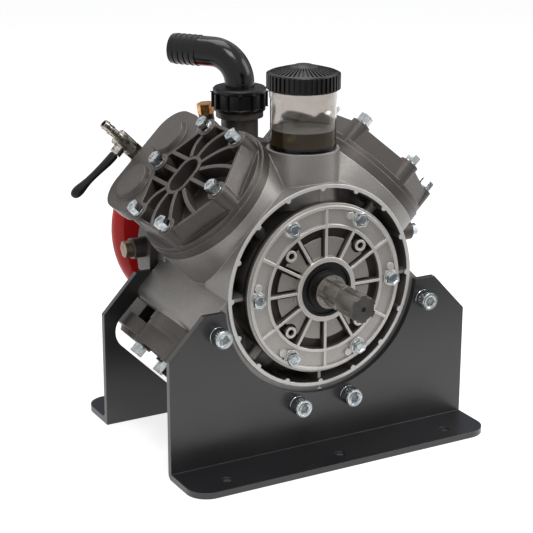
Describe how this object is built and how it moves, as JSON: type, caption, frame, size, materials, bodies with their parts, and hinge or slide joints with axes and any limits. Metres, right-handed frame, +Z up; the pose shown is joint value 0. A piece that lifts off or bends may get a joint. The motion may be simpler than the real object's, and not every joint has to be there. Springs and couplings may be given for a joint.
{
  "type": "diaphragm pump",
  "caption": "Oil-backed diaphragm pump with ribbed heads in an X around a splined drive shaft, glass oil cup, suction elbow and rear damper, on two bent steel rails.",
  "frame": {"origin": "centre of the four corner bolt holes of the rails, on the floor under the shaft axis", "axes": "+Z up, the drive shaft points along -Y, the suction elbow and damper are at +Y"},
  "size_m": [0.438, 0.5154, 0.502],
  "materials": {
    "rail_black": "satin powder coat",
    "zinc": "zinc plated",
    "cast_aluminium": "raw casting",
    "cover_aluminium": "raw casting, partly machined",
    "head_grey": "dark coated casting",
    "seal_rubber": "matt",
    "shaft_steel": "oiled steel",
    "bronze": "dull",
    "damper_red": "gloss",
    "black_plastic": "gloss",
    "cup_glass": "clear",
    "oil_brown": "liquid",
    "cap_plastic": "matt",
    "nickel": "nickel plated",
    "lever_black": "matt"
  },
  "bodies": {
    "pump": {"front_rail": "rail_black", "rear_rail": "rail_black", "front_rail_bolts": "zinc", "rear_rail_bolts": "zinc", "crankcase": "cast_aluminium", "bearing_cover": "cover_aluminium", "cover_bolts": "zinc", "shaft_seal": "seal_rubber", "rear_manifold": "head_grey", "side_plug": "bronze", "top_plug": "bronze", "right_port": "head_grey", "right_port_bolt": "zinc", "pulsation_damper": "damper_red", "suction_nut": "black_plastic", "suction_elbow": "black_plastic", "oil_cup_glass": "cup_glass", "oil": "oil_brown", "oil_cup_cap": "cap_plastic", "tap_body": "nickel", "head_upper_right": "head_grey", "head_bolts_upper_right": "zinc", "head_upper_left": "head_grey", "head_bolts_upper_left": "zinc", "head_lower_left": "head_grey", "head_bolts_lower_left": "zinc", "head_lower_right": "head_grey", "head_bolts_lower_right": "zinc"},
    "shaft": {"drive_shaft": "shaft_steel"},
    "lever": {"tap_lever": "lever_black"}
  },
  "joints": [
    {"name": "shaft_spin", "type": "hinge", "parent": "pump", "child": "shaft", "pos_m": [0, -0.15, 0.218], "axis": [0, 1, 0], "continuous": true},
    {"name": "tap_turn", "type": "hinge", "parent": "pump", "child": "lever", "pos_m": [-0.14672, 0.176, 0.36472], "axis": [0.7071, 0, 0.7071], "range_deg": [0, 90]}
  ]
}
